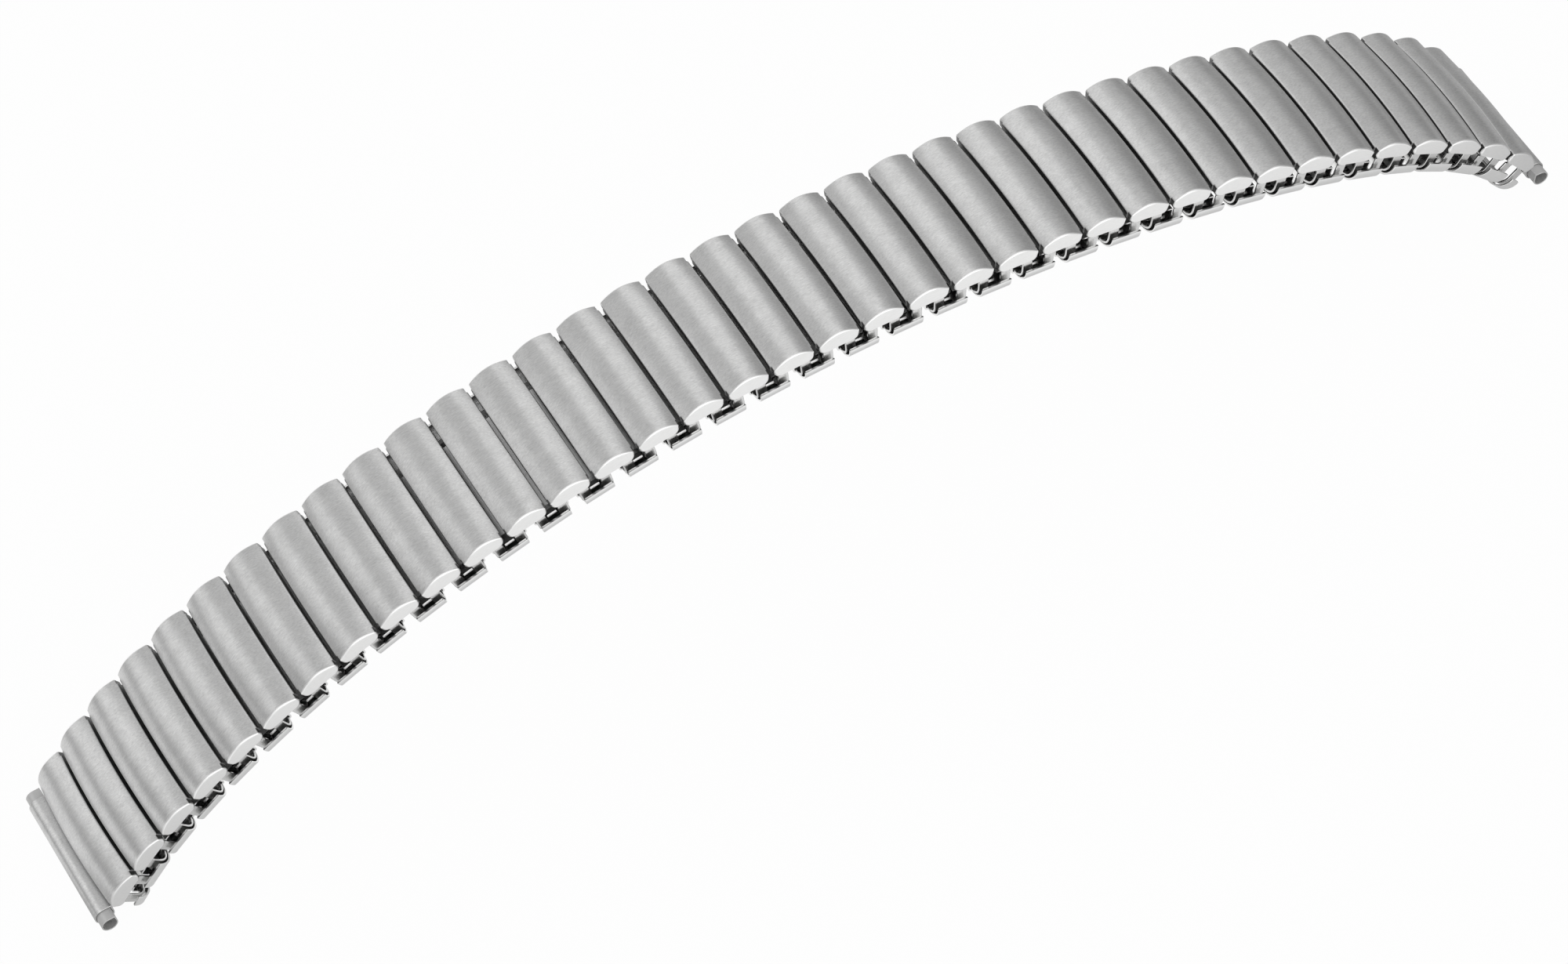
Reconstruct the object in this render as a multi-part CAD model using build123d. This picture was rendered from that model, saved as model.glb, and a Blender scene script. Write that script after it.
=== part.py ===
"""Expansion watch band: thirty-six shelled top links joined by lower links and side bows.

Millimetres. +Z is up, X runs along the band, Y across it. The origin is the bottom centre of
the bounding box. The band lies as an arch and stands on the rolled ends of both end pieces.
"""
from build123d import *
import math
import os

# Whole band
link_count = 36
root_link = 18

# Bend at each gap in degrees, almost even in the middle and sharper towards the ends
bend_left_middle = 2.1
bend_left_end = 4.9
bend_right_middle = 1.7
bend_right_end = 8.5
bend_power = 6
end_reach = 4.3

# Top link shell
shell_half_length = 2.08
link_gap = 0.44
link_pitch = 2 * shell_half_length + link_gap
shell_half_width = 7.85
shell_sheet = 0.2
shell_edge_height = 0.0
shell_bulge = 0.5
shell_crown_height = 0.75
shell_crown_margin = 0.3
shell_bottom = -1.05
shell_corner_radius = 0.65
shell_wall_bottom = -0.75
shell_cap_return = 0.5
shell_top_fillet = 0.4

# Inner sleeve of the top link
sleeve_half_length = 1.84
sleeve_setback = 0.85
sleeve_half_width = shell_half_width - sleeve_setback
sleeve_bottom = -1.0
sleeve_top = -0.16
sleeve_wall = 0.12
sleeve_corner_radius = 0.2

# Leaf springs
leaf_sheet = 0.1
leaf_half_length = 1.5
leaf_setback = 0.2
leaf_half_width = sleeve_half_width - leaf_setback
leaf_flat_length = 2.6
leaf_flat_start = leaf_half_width - leaf_flat_length
leaf_slope_length = 1.8
leaf_dip_end = leaf_flat_start - leaf_slope_length
upper_leaf_rest = -0.36
upper_leaf_dip = -0.82
lower_leaf_rest = -3.1
lower_leaf_dip = -3.66
end_leaf_half_length = 0.45

# Bows, seen from the centre of their top link
bow_sheet = 0.22
bow_inner_side = 0.64
bow_outer_side = 1.64
bow_leg_inner_side = 0.45
bow_leg_outer_side = 0.97
bow_setback = 0.26
bow_outer_face = shell_half_width - bow_setback
bow_upper_leg_centre = -0.7
bow_lower_leg_centre = -3.45
bow_upper_bend = 0.34
bow_lower_bend = 1.35
bow_upper_leg_length = 2.94
bow_upper_leg_end = bow_outer_face - bow_upper_leg_length
bow_lower_leg_length = 3.34
bow_lower_leg_end = bow_outer_face - bow_lower_leg_length
bow_shoulder_top = -0.84
bow_shoulder_bottom = -1.04

# Lower links, seen from the gap above them
lower_flap_half_length = 1.5
lower_flap_reach = 0.25
lower_half_width = shell_half_width + lower_flap_reach
lower_sheet = 0.2
lower_wall = 0.14
lower_play = 0.02
lower_half_length = link_pitch / 2 - bow_inner_side + lower_play + lower_wall
lower_bottom = -3.92
lower_top = -2.78
lower_flap_top = -1.97
lower_flap_radius = 1.85
lower_tube_setback = 1.95
lower_tube_half_width = lower_half_width - lower_tube_setback
lower_leaf_half_width = lower_tube_half_width - leaf_setback
lower_tab_half_length = 0.5
lower_tab_reach = 0.6
lower_seam_place = 0.95
lower_seam_half_gap = 0.12
lower_corner_radius = 0.3

# Half-length lower links under the two end top links
end_lower_inner_side = 0.4
end_lower_outer_side = 1.86
end_flap_inner_side = 0.5
end_flap_outer_side = 1.62

# End pieces with their rolls and telescopic inserts
roll_centre_along = 3.95
roll_centre_height = -0.55
insert_bore_radius = 0.68
insert_wall = 0.12
roll_clearance = 0.03
roll_sheet = 0.15
roll_setback = 0.85
roll_half_width = shell_half_width - roll_setback
insert_reach = 1.1
insert_outer_end = roll_half_width + insert_reach
insert_inner_end = 0.6
teardrop_half_angle = 50.0
tongue_start = 1.85
tongue_bottom = -1.0
tongue_setback = 0.25
tongue_half_width = roll_half_width - tongue_setback

half_share = 0.5
spare = 1.0


def gap_bend(gap):
    """Degrees of bend at one gap between two top links."""
    span_share = (gap - root_link) / (root_link - 1)
    if span_share < 0:
        return bend_left_middle + bend_left_end * span_share ** bend_power
    return bend_right_middle + bend_right_end * span_share ** bend_power


def link_angles():
    """Slope of every top link; positive slopes down towards +X."""
    angles = {root_link: -gap_bend(root_link) * half_share}
    for gap in range(root_link, link_count):
        angles[gap + 1] = angles[gap] + gap_bend(gap)
    for gap in range(root_link - 1, 0, -1):
        angles[gap] = angles[gap + 1] - gap_bend(gap)
    return angles


def link_centres(angles):
    """Centre of every top link on the arch, level at both end tips and centred along X."""
    places = {}
    along = 0.0
    height = 0.0
    first = math.radians(angles[1])
    start = (-end_reach * math.cos(first), end_reach * math.sin(first))
    for link in range(1, link_count + 1):
        slope = math.radians(angles[link])
        if link > 1:
            before = math.radians(angles[link - 1])
            along += link_pitch * half_share * (math.cos(before) + math.cos(slope))
            height -= link_pitch * half_share * (math.sin(before) + math.sin(slope))
        places[link] = (along, height)
    last = math.radians(angles[link_count])
    finish = (along + end_reach * math.cos(last), height - end_reach * math.sin(last))
    tilt = math.atan2(finish[1] - start[1], finish[0] - start[0])
    levelled = {}
    for link, (along, height) in places.items():
        levelled[link] = (along * math.cos(tilt) + height * math.sin(tilt),
                          height * math.cos(tilt) - along * math.sin(tilt))
    start = (start[0] * math.cos(tilt) + start[1] * math.sin(tilt),
             start[1] * math.cos(tilt) - start[0] * math.sin(tilt))
    finish = (finish[0] * math.cos(tilt) + finish[1] * math.sin(tilt),
              finish[1] * math.cos(tilt) - finish[0] * math.sin(tilt))
    middle = (start[0] + finish[0]) * half_share
    centres = {link: (spot[0] - middle, spot[1] - start[1]) for link, spot in levelled.items()}
    slopes = {link: angle + math.degrees(tilt) for link, angle in angles.items()}
    return centres, slopes


def place(shape, centre, slope):
    """Move a shape from a link's own frame to the band."""
    return Location((centre[0], 0, centre[1]), (0, slope, 0)) * shape


def across(face, start, end):
    """Extrude a face drawn in the XZ plane from Y=start to Y=end."""
    solid = extrude(face, amount=-(end - start))
    return Location((0, start, 0)) * solid


def along(face, start, end):
    """Extrude a face drawn in the YZ plane from X=start to X=end."""
    solid = extrude(face, amount=end - start)
    return Location((start, 0, 0)) * solid


def block(x_start, x_end, y_start, y_end, z_start, z_end):
    """Box between two corners."""
    size = Box(x_end - x_start, y_end - y_start, z_end - z_start)
    middle = ((x_start + x_end) * half_share, (y_start + y_end) * half_share,
              (z_start + z_end) * half_share)
    return Location(middle) * size


def cap_face(half_length, top, bottom, corner):
    """Outline with straight sides, a flat top and two rounded lower corners."""
    diagonal = corner * (1 - math.sqrt(half_share))
    edges = [
        Line((-half_length, top), (half_length, top)),
        Line((half_length, top), (half_length, bottom + corner)),
        ThreePointArc((half_length, bottom + corner),
                      (half_length - diagonal, bottom + diagonal),
                      (half_length - corner, bottom)),
        Line((half_length - corner, bottom), (-half_length + corner, bottom)),
        ThreePointArc((-half_length + corner, bottom),
                      (-half_length + diagonal, bottom + diagonal),
                      (-half_length, bottom + corner)),
        Line((-half_length, bottom + corner), (-half_length, top)),
    ]
    return Plane.XZ * make_face(Curve() + edges)


def crown_body(half_length, drop):
    """Solid under a crown that also arches gently across the band, wider than the shell."""
    rise = shell_crown_height - shell_edge_height
    radius = (half_length ** 2 + rise ** 2) * half_share / rise
    crown = shell_crown_height + shell_bulge - drop
    wide = half_length + shell_crown_margin
    edge = crown - radius + math.sqrt(radius ** 2 - wide ** 2)
    floor = shell_bottom - 2 * spare
    face = Plane.XZ * make_face(Curve() + [
        ThreePointArc((-wide, edge), (0, crown), (wide, edge)),
        Line((wide, edge), (wide, floor)),
        Line((wide, floor), (-wide, floor)),
        Line((-wide, floor), (-wide, edge)),
    ])
    arch = (shell_half_width ** 2 + shell_bulge ** 2) * half_share / shell_bulge
    axis = Axis((0, 0, shell_edge_height + shell_bulge - arch), (1, 0, 0))
    spread = math.degrees(math.asin((shell_half_width + spare) / arch))
    return revolve(face, axis, 2 * spread).rotate(axis, -spread)


def top_ridge_edges(solid, width):
    """Edges where the crown meets the two caps."""
    chosen = []
    for edge in solid.edges():
        middle = edge.center()
        if abs(abs(middle.Y) - width) < leaf_sheet and middle.Z > shell_edge_height + leaf_sheet:
            chosen.append(edge)
    return chosen


def make_shell():
    """Drawn shell with a crowned top, long side walls and a closed cap at each end."""
    top = shell_crown_height + shell_bulge + spare
    outer = cap_face(shell_half_length, top, shell_bottom, shell_corner_radius)
    solid = across(outer, -shell_half_width, shell_half_width) & crown_body(shell_half_length, 0)
    solid = fillet(top_ridge_edges(solid, shell_half_width), radius=shell_top_fillet)
    inner_length = shell_half_length - shell_sheet
    inner_width = shell_half_width - shell_sheet
    inner = cap_face(inner_length, top, shell_bottom - spare, shell_corner_radius)
    hollow = across(inner, -inner_width, inner_width) & crown_body(inner_length, shell_sheet)
    solid = solid - hollow
    reach = inner_width - shell_cap_return
    solid = solid - block(-shell_half_length - spare, shell_half_length + spare, -reach, reach,
                          shell_bottom - spare, shell_wall_bottom)
    return solid


def make_sleeve():
    """Flat tube inside the shell that holds the bows' upper legs."""
    height = sleeve_top - sleeve_bottom
    middle = (sleeve_top + sleeve_bottom) * half_share
    outer = Plane.XZ * Pos(0, middle) * RectangleRounded(2 * sleeve_half_length, height,
                                                        sleeve_corner_radius)
    inner = Plane.XZ * Pos(0, middle) * RectangleRounded(
        2 * (sleeve_half_length - sleeve_wall), height - 2 * sleeve_wall,
        sleeve_corner_radius - sleeve_wall)
    tube = across(outer, -sleeve_half_width, sleeve_half_width)
    return tube - across(inner, -sleeve_half_width - spare, sleeve_half_width + spare)


def make_leaf(half_length, half_width, rest, dip):
    """Leaf spring: flat over the bow legs, dipping to the floor in the middle."""
    upper = [(-half_width, rest), (-leaf_flat_start, rest), (-leaf_dip_end, dip),
             (leaf_dip_end, dip), (leaf_flat_start, rest), (half_width, rest)]
    lower = [(y, z - leaf_sheet) for y, z in reversed(upper)]
    face = Plane.YZ * make_face(Polyline(*upper, *lower, close=True))
    return along(face, -half_length, half_length)


def bow_profile(face_place, upper_leg, lower_leg, upper_bend, lower_bend):
    """One side of the bow's bent strip from the upper leg's end to the lower leg's end."""
    upper_diagonal = upper_bend * (1 - math.sqrt(half_share))
    lower_diagonal = lower_bend * (1 - math.sqrt(half_share))
    return [
        Line((bow_upper_leg_end, upper_leg), (face_place - upper_bend, upper_leg)),
        ThreePointArc((face_place - upper_bend, upper_leg),
                      (face_place - upper_diagonal, upper_leg - upper_diagonal),
                      (face_place, upper_leg - upper_bend)),
        Line((face_place, upper_leg - upper_bend), (face_place, lower_leg + lower_bend)),
        ThreePointArc((face_place, lower_leg + lower_bend),
                      (face_place - lower_diagonal, lower_leg + lower_diagonal),
                      (face_place - lower_bend, lower_leg)),
        Line((face_place - lower_bend, lower_leg), (bow_lower_leg_end, lower_leg)),
    ]


def make_bow():
    """Bow on the +X, +Y side of a top link: narrow upper leg, wide bridge, wide lower leg."""
    half_sheet = bow_sheet * half_share
    outer = bow_profile(bow_outer_face, bow_upper_leg_centre + half_sheet,
                        bow_lower_leg_centre - half_sheet, bow_upper_bend, bow_lower_bend)
    inner = bow_profile(bow_outer_face - bow_sheet, bow_upper_leg_centre - half_sheet,
                        bow_lower_leg_centre + half_sheet, bow_upper_bend - bow_sheet,
                        bow_lower_bend - bow_sheet)
    closing = [
        Line((bow_upper_leg_end, bow_upper_leg_centre + half_sheet),
             (bow_upper_leg_end, bow_upper_leg_centre - half_sheet)),
        Line((bow_lower_leg_end, bow_lower_leg_centre - half_sheet),
             (bow_lower_leg_end, bow_lower_leg_centre + half_sheet)),
    ]
    face = Plane.YZ * make_face(Curve() + outer + inner + closing)
    strip = along(face, bow_leg_inner_side, bow_outer_side)
    plan = Polyline((bow_leg_inner_side, spare), (bow_leg_outer_side, spare),
                    (bow_leg_outer_side, bow_shoulder_top), (bow_outer_side, bow_shoulder_bottom),
                    (bow_outer_side, lower_bottom), (bow_inner_side, lower_bottom),
                    (bow_inner_side, bow_shoulder_bottom), (bow_leg_inner_side, bow_shoulder_top),
                    close=True)
    cutter = across(Plane.XZ * make_face(plan), 0, bow_outer_face + spare)
    return strip & cutter


def lower_side_profile():
    """Floor of a lower link, turned up at both ends in a large round, drawn in YZ."""
    outer = lower_flap_radius
    inner = lower_flap_radius - lower_sheet
    bend_place = lower_half_width - outer
    bend_height = lower_bottom + outer
    outer_diagonal = outer * math.sqrt(half_share)
    inner_diagonal = inner * math.sqrt(half_share)
    edges = [
        Line((-bend_place, lower_bottom), (bend_place, lower_bottom)),
        Line((-bend_place, lower_bottom + lower_sheet), (bend_place, lower_bottom + lower_sheet)),
    ]
    for side in (-1, 1):
        edges.append(ThreePointArc(
            (side * bend_place, lower_bottom),
            (side * (bend_place + outer_diagonal), bend_height - outer_diagonal),
            (side * (bend_place + outer), bend_height)))
        edges.append(ThreePointArc(
            (side * bend_place, lower_bottom + lower_sheet),
            (side * (bend_place + inner_diagonal), bend_height - inner_diagonal),
            (side * (bend_place + inner), bend_height)))
        edges.append(Line((side * (bend_place + outer), bend_height),
                          (side * (bend_place + outer), lower_flap_top)))
        edges.append(Line((side * (bend_place + inner), bend_height),
                          (side * (bend_place + inner), lower_flap_top)))
        edges.append(Line((side * (bend_place + outer), lower_flap_top),
                          (side * (bend_place + inner), lower_flap_top)))
    return Plane.YZ * make_face(Curve() + edges)


def make_lower_sleeve(x_start, x_end, flap_start, flap_end, seam, tab_half_length):
    """Lower link: floor with two turned-up ends, a flat tube folded from it and its end tabs."""
    floor = along(lower_side_profile(), flap_start, flap_end)
    middle = ((x_start + x_end) * half_share, (lower_bottom + lower_top) * half_share)
    length = x_end - x_start
    height = lower_top - lower_bottom
    outer = Plane.XZ * Pos(*middle) * RectangleRounded(length, height, lower_corner_radius)
    tube = across(outer, -lower_tube_half_width, lower_tube_half_width)
    hollow = block(x_start + lower_wall, x_end - lower_wall, -lower_half_width, lower_half_width,
                   lower_bottom + lower_sheet, lower_top - lower_wall)
    seam_cut = block(seam - lower_seam_half_gap, seam + lower_seam_half_gap, -lower_half_width,
                     lower_half_width, lower_top - lower_sheet, lower_top + spare)
    tube = tube - hollow - seam_cut
    if tab_half_length:
        reach = lower_tube_half_width + lower_tab_reach
        tab = block(-tab_half_length, tab_half_length, -reach, reach, lower_top - lower_wall,
                    lower_top)
        tube = tube + tab
    return floor + tube


def teardrop(radius):
    """Round bore outline drawn out to a point towards the link, centred on the bore."""
    angle = math.radians(teardrop_half_angle)
    point = -radius / math.sin(angle)
    touch = (-radius * math.sin(angle), radius * math.cos(angle))
    edges = [
        ThreePointArc(touch, (radius, 0), (touch[0], -touch[1])),
        Line((touch[0], -touch[1]), (point, 0)),
        Line((point, 0), touch),
    ]
    return Plane.XZ * Pos(roll_centre_along, roll_centre_height) * make_face(Curve() + edges)


def make_end_sleeve():
    """End piece on the +X side: a tongue from the last link and the roll it runs into."""
    outer_radius = insert_bore_radius + insert_wall + roll_clearance + roll_sheet
    inner_radius = outer_radius - roll_sheet
    roll = across(teardrop(outer_radius), -roll_half_width, roll_half_width)
    top = tongue_bottom + roll_sheet
    tongue = block(tongue_start, roll_centre_along - outer_radius * half_share,
                   -tongue_half_width, tongue_half_width, tongue_bottom, top)
    hollow = across(teardrop(inner_radius), -roll_half_width - spare, roll_half_width + spare)
    return (roll + tongue) - hollow


def make_insert():
    """Telescopic insert for the +X, +Y side."""
    outer = teardrop(insert_bore_radius + insert_wall)
    inner = teardrop(insert_bore_radius)
    tube = across(outer, insert_inner_end, insert_outer_end)
    return tube - across(inner, insert_inner_end - spare, insert_outer_end + spare)


def turned(shape):
    """The same shape turned half round for the other end of the band."""
    return Location((0, 0, 0), (0, 0, 180)) * shape


def mirrored(shape):
    """Mirror image across the band's length."""
    return mirror(shape, about=Plane.XZ)


shell = make_shell()
sleeve = make_sleeve()
upper_leaf = make_leaf(leaf_half_length, leaf_half_width, upper_leaf_rest, upper_leaf_dip)
lower_leaf = make_leaf(leaf_half_length, lower_leaf_half_width, lower_leaf_rest, lower_leaf_dip)
end_leaf = make_leaf(end_leaf_half_length, lower_leaf_half_width, lower_leaf_rest, lower_leaf_dip)
bow = make_bow()
bows_right = [bow, mirrored(bow)]
bows_left = [turned(shape) for shape in bows_right]
lower_sleeve = make_lower_sleeve(-lower_half_length, lower_half_length, -lower_flap_half_length,
                                 lower_flap_half_length, lower_seam_place,
                                 lower_tab_half_length)
end_lower = make_lower_sleeve(end_lower_inner_side, end_lower_outer_side, end_flap_inner_side,
                              end_flap_outer_side,
                              (end_lower_inner_side + end_lower_outer_side) * half_share, 0)
end_leaf = Location(((bow_inner_side + bow_outer_side) * half_share, 0, 0)) * end_leaf
end_sleeve = make_end_sleeve()
insert = make_insert()

centres, slopes = link_centres(link_angles())
nodes = {}
for link in range(1, link_count + 1):
    local = [shell, sleeve, upper_leaf]
    if link == link_count:
        local += bows_right + [end_lower, end_leaf]
    if link == 1:
        local += bows_left + [turned(end_lower), turned(end_leaf)]
    nodes[f"top_link_{link:02d}"] = [place(shape, centres[link], slopes[link]) for shape in local]

for gap in range(1, link_count):
    slope = (slopes[gap] + slopes[gap + 1]) * half_share
    radians = math.radians(slopes[gap])
    centre = (centres[gap][0] + link_pitch * half_share * math.cos(radians),
              centres[gap][1] - link_pitch * half_share * math.sin(radians))
    solids = [place(lower_sleeve, centre, slope), place(lower_leaf, centre, slope)]
    solids += [place(shape, centres[gap], slopes[gap]) for shape in bows_right]
    solids += [place(shape, centres[gap + 1], slopes[gap + 1]) for shape in bows_left]
    if gap % 2:
        nodes[f"lower_link_{gap:02d}"] = solids
    elif gap < root_link:
        nodes[f"top_link_{gap:02d}"] += solids
    else:
        nodes[f"top_link_{gap + 1:02d}"] += solids

ends = {"right": (link_count, lambda shape: shape), "left": (1, turned)}
for side, (link, turn) in ends.items():
    centre = centres[link]
    slope = slopes[link]
    nodes[f"end_sleeve_{side}"] = [place(turn(end_sleeve), centre, slope)]
    near, far = (mirrored(insert), insert)
    if side == "left":
        near, far = (turned(insert), turned(mirrored(insert)))
    nodes[f"end_insert_{side}_near"] = [place(near, centre, slope)]
    nodes[f"end_insert_{side}_far"] = [place(far, centre, slope)]

boxes = [shape.bounding_box() for solids in nodes.values() for shape in solids]
lowest = min(box.min.Z for box in boxes)
left_end = min(box.min.X for box in boxes)
right_end = max(box.max.X for box in boxes)
shift = Location((-(left_end + right_end) * half_share, 0, -lowest))
print("shift", -(left_end + right_end) * half_share, -lowest)
print("nodes", len(nodes))

os.makedirs("parts", exist_ok=True)
for name, solids in nodes.items():
    moved = [shift * shape for shape in solids]
    export_step(Compound(children=moved, label=name), f"parts/{name}.step")
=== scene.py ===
"""Looks of the expansion watch band: satin steel links, bows, lower links and end rolls."""
import math

import bpy
from mathutils import Matrix, Vector


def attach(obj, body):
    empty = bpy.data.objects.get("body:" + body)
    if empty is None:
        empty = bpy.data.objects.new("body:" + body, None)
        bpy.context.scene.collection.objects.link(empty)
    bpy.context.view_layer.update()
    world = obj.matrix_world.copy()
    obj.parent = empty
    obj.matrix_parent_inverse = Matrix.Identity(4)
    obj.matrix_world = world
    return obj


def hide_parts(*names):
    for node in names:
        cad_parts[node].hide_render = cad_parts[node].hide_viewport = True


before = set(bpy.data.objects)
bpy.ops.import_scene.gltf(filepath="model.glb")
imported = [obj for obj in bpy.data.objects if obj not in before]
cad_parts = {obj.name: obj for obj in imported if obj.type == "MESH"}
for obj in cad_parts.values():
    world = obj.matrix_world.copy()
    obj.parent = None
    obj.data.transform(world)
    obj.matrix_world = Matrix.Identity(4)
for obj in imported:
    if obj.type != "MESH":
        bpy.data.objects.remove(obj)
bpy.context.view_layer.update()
MM = 0.001

# Layout of the arch, in millimetres and degrees, as the solids have it
LINK_COUNT = 36
LINK_PITCH = 4.6
ROOT_LINK = 18
BEND_LEFT = (2.1, 4.9)
BEND_RIGHT = (1.7, 8.5)
BEND_POWER = 6
END_REACH = 4.3
SHIFT_ALONG = 0.0026
SHIFT_UP = 1.0639

# Shell of a top link: a crown bulged along and across, notched in front of its two caps
SHELL_HALF_LENGTH = 2.13
CAP_HALF_LENGTH = 2.02
SHELL_HALF_WIDTH = 7.85
SHELL_SHEET = 0.2
EDGE_RISE = 0.5
CROWN_HEIGHT = 0.68
CROWN_HEIGHT_GAIN = 0.18
CROWN_STEPS = 14
CROWN_EDGE_ROUND = 0.22
CROWN_EDGE_STEPS = 5
CROWN_EDGE_SATIN_STEPS = 4
SHELL_BOTTOM = -1.05
SHELL_WALL_BOTTOM = -0.75
SHELL_WALL_STEPS = 4
SHELL_CORNER = 0.65
SHELL_CORNER_STEPS = 8
MEET_ROUNDS = 8
NOTCH_START = 7.16
NOTCH_END = 7.26
CROWN_STATIONS = (0.0, 1.3, 2.6, 3.9, 5.2, 6.3,
                  NOTCH_START, NOTCH_START + 0.03, NOTCH_START + 0.07, NOTCH_END)

# Rounding beside a cap, and the rows that lead to it: how far before it, and whether at full depth
RIM_ROUND = 0.2
RIM_ROUND_LEAST = 0.1
RIM_START = 12
RIM_END = 74
RIM_STEPS = 7
RIM_WALL_TOP = -0.02
RIM_WALL_REACH = 0.4
RIM_LEAD_IN = ((0.17, False), (0.012, False), (0.008, True), (0.0, True))

# Flat tube inside a shell
SLEEVE_HALF_LENGTH = 1.84
SLEEVE_HALF_WIDTH = 7.0
SLEEVE_BOTTOM = -1.0
SLEEVE_TOP = -0.16
SLEEVE_WALL = 0.12
SLEEVE_CORNER = 0.2

# Leaf springs
LEAF_SHEET = 0.1
LEAF_EDGE = 0.02
LEAF_DIP_END = 4.2
LEAF_DIP_SLOPE = 1.8
LEAF_TIP_LENGTH = 0.5
LEAF_TIP_SHARE = 0.55
LEAF_STEPS = 36

# Bows: a narrow neck in the upper tube, wider below it
BOW_SHEET = 0.22
BOW_EDGE = 0.05
BOW_FACE = 7.59
BOW_UPPER = -0.7
BOW_UPPER_LEG = (4.65, 6.0)
BOW_UPPER_BEND = 0.23
BOW_UPPER_BEND_STEPS = 8
BOW_STRAIGHT = (-1.1, -1.6)
BOW_LOWER = -3.45
BOW_LOWER_LEG = (5.0, 4.25)
BOW_LOWER_BEND = 1.24
BOW_LOWER_BEND_STEPS = 16
BOW_NECK = (0.45, 0.97)
BOW_NECK_GAIN = (0.19, 0.67)
BOW_NECK_BOTTOM = -0.84
BOW_NECK_SLOPE = 0.2

# Lower links: a floor turned up at both ends, whose corners are trimmed at drops below the top
LOWER_SHEET = 0.2
LOWER_EDGE = 0.05
LOWER_BOTTOM = -3.92
LOWER_TOP = -2.78
LOWER_HALF_WIDTH = 8.1
LOWER_FLAP_RADIUS = 1.85
LOWER_FLAP_STEPS = 20
LOWER_FLAP_TOP = -1.97
LOWER_FLAP_TRIMS = ((0.0, 0.12), (0.02, 0.04), (0.06, 0.0))
TUBE_HALF_WIDTH = 6.15
TUBE_WALL = 0.14
TUBE_CORNER = 0.3
TUBE_CORNER_STEPS = 6
SEAM_HALF_GAP = 0.12

# Tab between the flaps' bows; its bent lip goes by distance from the tip and drop below the top
TAB_REACH = 0.6
TAB_ROOT = 0.5
TAB_EDGE = 0.03
TAB_LIP = ((0.16, 0.07), (0.12, 0.09), (0.02, 0.2))

# End pieces: roll, tongue and telescopic inserts
ROLL_CENTRE = (3.95, -0.55)
ROLL_POINT_ANGLE = 50.0
ROLL_STEPS = 28
ROLL_OUTER = 0.98
ROLL_INNER = 0.83
ROLL_HALF_WIDTH = 7.0
TONGUE_START = 1.85
TONGUE_END = 3.3
TONGUE_BOTTOM = -1.0
TONGUE_TOP = -0.85
TONGUE_HALF_WIDTH = 6.75
INSERT_OUTER = 0.8
INSERT_INNER = 0.68
INSERT_START = 0.6
INSERT_END = 8.1
INSERT_CHAMFER = 0.025

# Meshes: chamfer in millimetres, angles in degrees, weld in metres
CHAMFER = 0.03
SHARP_ANGLE = 38
SHELL_SHARP_ANGLE = 16.5
SHELL_WELD = 0.000002
TINY = 1e-9
NEARLY = 0.001
LEAST_SPREAD = 0.5

# Material numbers of a form's faces: 1 is steel painted lighter, a painted reflection; 2 is steel
# painted dark, painted shade
LIT_PAINT = 1
SHADED_PAINT = 2

# Brushed steel: where each piece's pattern starts, and how much each grain adds
PATTERN_SHIFT = (37.0, 53.0, 11.0)
GRAIN_ROUGHNESS = 0.6
FINE_SHARE = 0.9
SHORT_SHARE = 0.45
PATCH_SHARE = 0.35
BLUE_SHARE = 0.994
ROUGH_SHARE = -0.6
GROOVE_DEPTH = 0.00001
GROOVE_SHORT_SHARE = 0.5
NOISE_MIDDLE = 0.5

# Paper floor, in metres, and how bright each kind of ray finds it
FLOOR_REACH = 1.2
FLOOR_DROP = 0.0002
FLOOR_GREY = (0.8, 0.8, 0.8, 1)
SEEN_WHITE = 0.97
MIRRORED_WHITE = 0.85
# Depth of the band's painted shadow on the floor as the steel mirrors it
BAND_SHADE = 0.4
TO_THE_RIGHT = (1.0, 0.7, 0.0)

# Light of the room
WHITE = (1, 1, 1, 1)
ROOM = 0.66
ROOM_RIGHT = 0.3
ROOM_LEFT = -0.2
ROOM_FRONT = 0.65
LOW_FRONT = (0.15, -0.9, 0.35)

# Camera fitted to the photograph
CAMERA_AZIMUTH = -21.459
CAMERA_ELEVATION = 54.141
CAMERA_ROLL = -9.698
CAMERA_TARGET = (-4.25 + SHIFT_ALONG, -5.86, 9.93 + SHIFT_UP)
CAMERA_DISTANCE = 543.88
SENSOR_WIDTH = 36.0
FOCAL_PIXELS = 7648.54
PHOTO_WIDTH = 2000
CLIP_START = 0.01
CLIP_END = 10


def gap_bend(gap):
    """Degrees of bend at one gap."""
    place = (gap - ROOT_LINK) / (ROOT_LINK - 1)
    middle, end = BEND_LEFT if place < 0 else BEND_RIGHT
    return middle + end * place ** BEND_POWER


def arch():
    """Place and slope of every top link."""
    slopes = {ROOT_LINK: -gap_bend(ROOT_LINK) / 2}
    for gap in range(ROOT_LINK, LINK_COUNT):
        slopes[gap + 1] = slopes[gap] + gap_bend(gap)
    for gap in range(ROOT_LINK - 1, 0, -1):
        slopes[gap] = slopes[gap + 1] - gap_bend(gap)
    step = {link: Vector((math.cos(math.radians(slope)), -math.sin(math.radians(slope))))
            for link, slope in slopes.items()}
    points = {1: Vector((0, 0))}
    for link in range(2, LINK_COUNT + 1):
        points[link] = points[link - 1] + (step[link - 1] + step[link]) * (LINK_PITCH / 2)
    start = points[1] - step[1] * END_REACH
    finish = points[LINK_COUNT] + step[LINK_COUNT] * END_REACH
    tilt = math.atan2(finish.y - start.y, finish.x - start.x)
    level = Matrix.Rotation(-tilt, 2)
    middle = (level @ start + level @ finish) / 2
    shift = Vector((SHIFT_ALONG - middle.x, SHIFT_UP - (level @ start).y))
    places = {link: level @ point + shift for link, point in points.items()}
    return places, {link: slope + math.degrees(tilt) for link, slope in slopes.items()}


PLACES, SLOPES = arch()


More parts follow.
